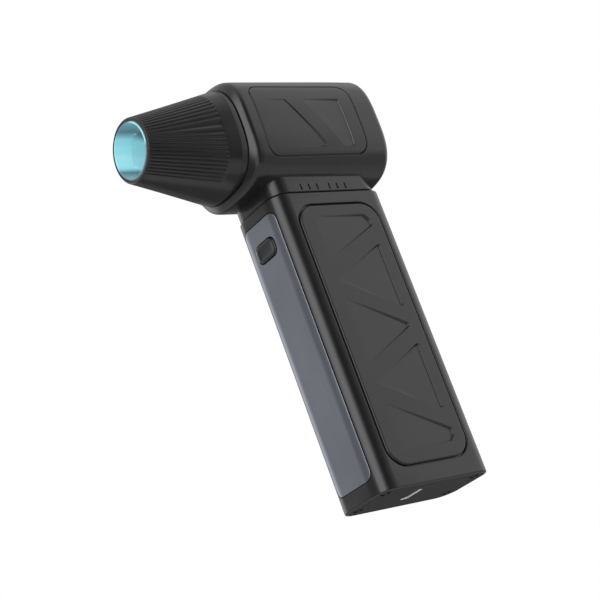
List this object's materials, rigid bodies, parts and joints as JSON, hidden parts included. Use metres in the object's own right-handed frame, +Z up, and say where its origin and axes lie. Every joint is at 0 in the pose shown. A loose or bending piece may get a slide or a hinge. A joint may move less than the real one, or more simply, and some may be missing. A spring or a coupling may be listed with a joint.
{
  "type": "car dryer blower",
  "caption": "Handheld cordless turbo blower for drying a car: ribbed nozzle with a lit teal liner, fan head and straight battery handle with a power button.",
  "frame": {"origin": "centre of the handle's flat bottom face", "axes": "+Z up along the handle, -X from the handle towards the nozzle along the fan's axis, Y across the handle"},
  "size_m": [0.0835, 0.037, 0.1344],
  "materials": {
    "shell_black": "satin moulded ABS, fine texture",
    "cap_black": "satin moulded ABS",
    "nozzle_black": "satin moulded ABS",
    "grip_black": "soft-touch satin",
    "inlay_black": "soft-touch satin",
    "liner_teal": "clear-tinted polycarbonate, lit from behind",
    "led_white": "clear lens",
    "board_green": "solder mask",
    "filter_steel": "etched mesh",
    "duct_grey": "satin",
    "fan_metal": "die cast, turned",
    "damper_rubber": "matt",
    "core_steel": "laminated",
    "copper": "enamelled copper",
    "magnet": "nickel plated",
    "polished_steel": "ground",
    "impeller_metal": "machined",
    "nut_brass": "turned",
    "lead_red": "silicone insulation",
    "screw_steel": "black oxide",
    "trim_metal": "blue-grey anodised, fine brushed",
    "button_black": "satin",
    "switch_plastic": "satin",
    "chip_black": "moulded epoxy",
    "capacitor_blue": "printed sleeve",
    "cell_wrap": "shrink sleeve",
    "nickel": "bright plated",
    "holder_plastic": "satin"
  },
  "bodies": {
    "root": {"nozzle_shell": "nozzle_black", "nozzle_liner": "liner_teal", "led_board": "board_green", "leds": "led_white", "head_shell": "shell_black", "head_inlay_left": "inlay_black", "head_inlay_right": "inlay_black", "rear_grille": "nozzle_black", "intake_filter": "filter_steel", "inlet_ring": "duct_grey", "fan_housing": "fan_metal", "front_damper": "damper_rubber", "rear_damper": "damper_rubber", "air_guide": "duct_grey", "tail_cone": "duct_grey", "stator_core": "core_steel", "stator_windings": "copper", "front_bearing": "polished_steel", "rear_bearing": "polished_steel", "motor_end_plate": "fan_metal", "motor_leads": "lead_red", "neck_collar": "shell_black", "neck_screws": "screw_steel", "handle_shell": "shell_black", "side_grip_left": "grip_black", "side_grip_right": "grip_black", "front_trim_plate": "trim_metal", "tact_switch": "chip_black", "switch_board": "board_green", "main_board": "board_green", "board_chips": "chip_black", "filter_capacitor": "capacitor_blue", "cell_front": "cell_wrap", "cell_rear": "cell_wrap", "nickel_strips": "nickel", "cell_holder_lower": "holder_plastic", "cell_holder_upper": "holder_plastic", "battery_leads": "lead_red", "charge_board": "board_green", "charge_chips": "chip_black", "usb_socket": "nickel", "usb_tongue": "chip_black", "bottom_cap": "cap_black", "bottom_screws": "screw_steel"},
    "rotor": {"impeller": "impeller_metal", "motor_shaft": "polished_steel", "rotor_magnet": "magnet", "impeller_nut": "nut_brass"},
    "button": {"power_button": "button_black", "switch_plunger": "switch_plastic"}
  },
  "joints": [
    {"name": "fan_spin", "type": "hinge", "parent": "root", "child": "rotor", "pos_m": [0.008, 0, 0.116], "axis": [1, 0, 0], "continuous": true},
    {"name": "button_press", "type": "slide", "parent": "root", "child": "button", "axis": [1, 0, 0], "range_m": [0, 0.0005], "stiffness_N_per_m": 2000, "springref_m": -0.0005}
  ]
}
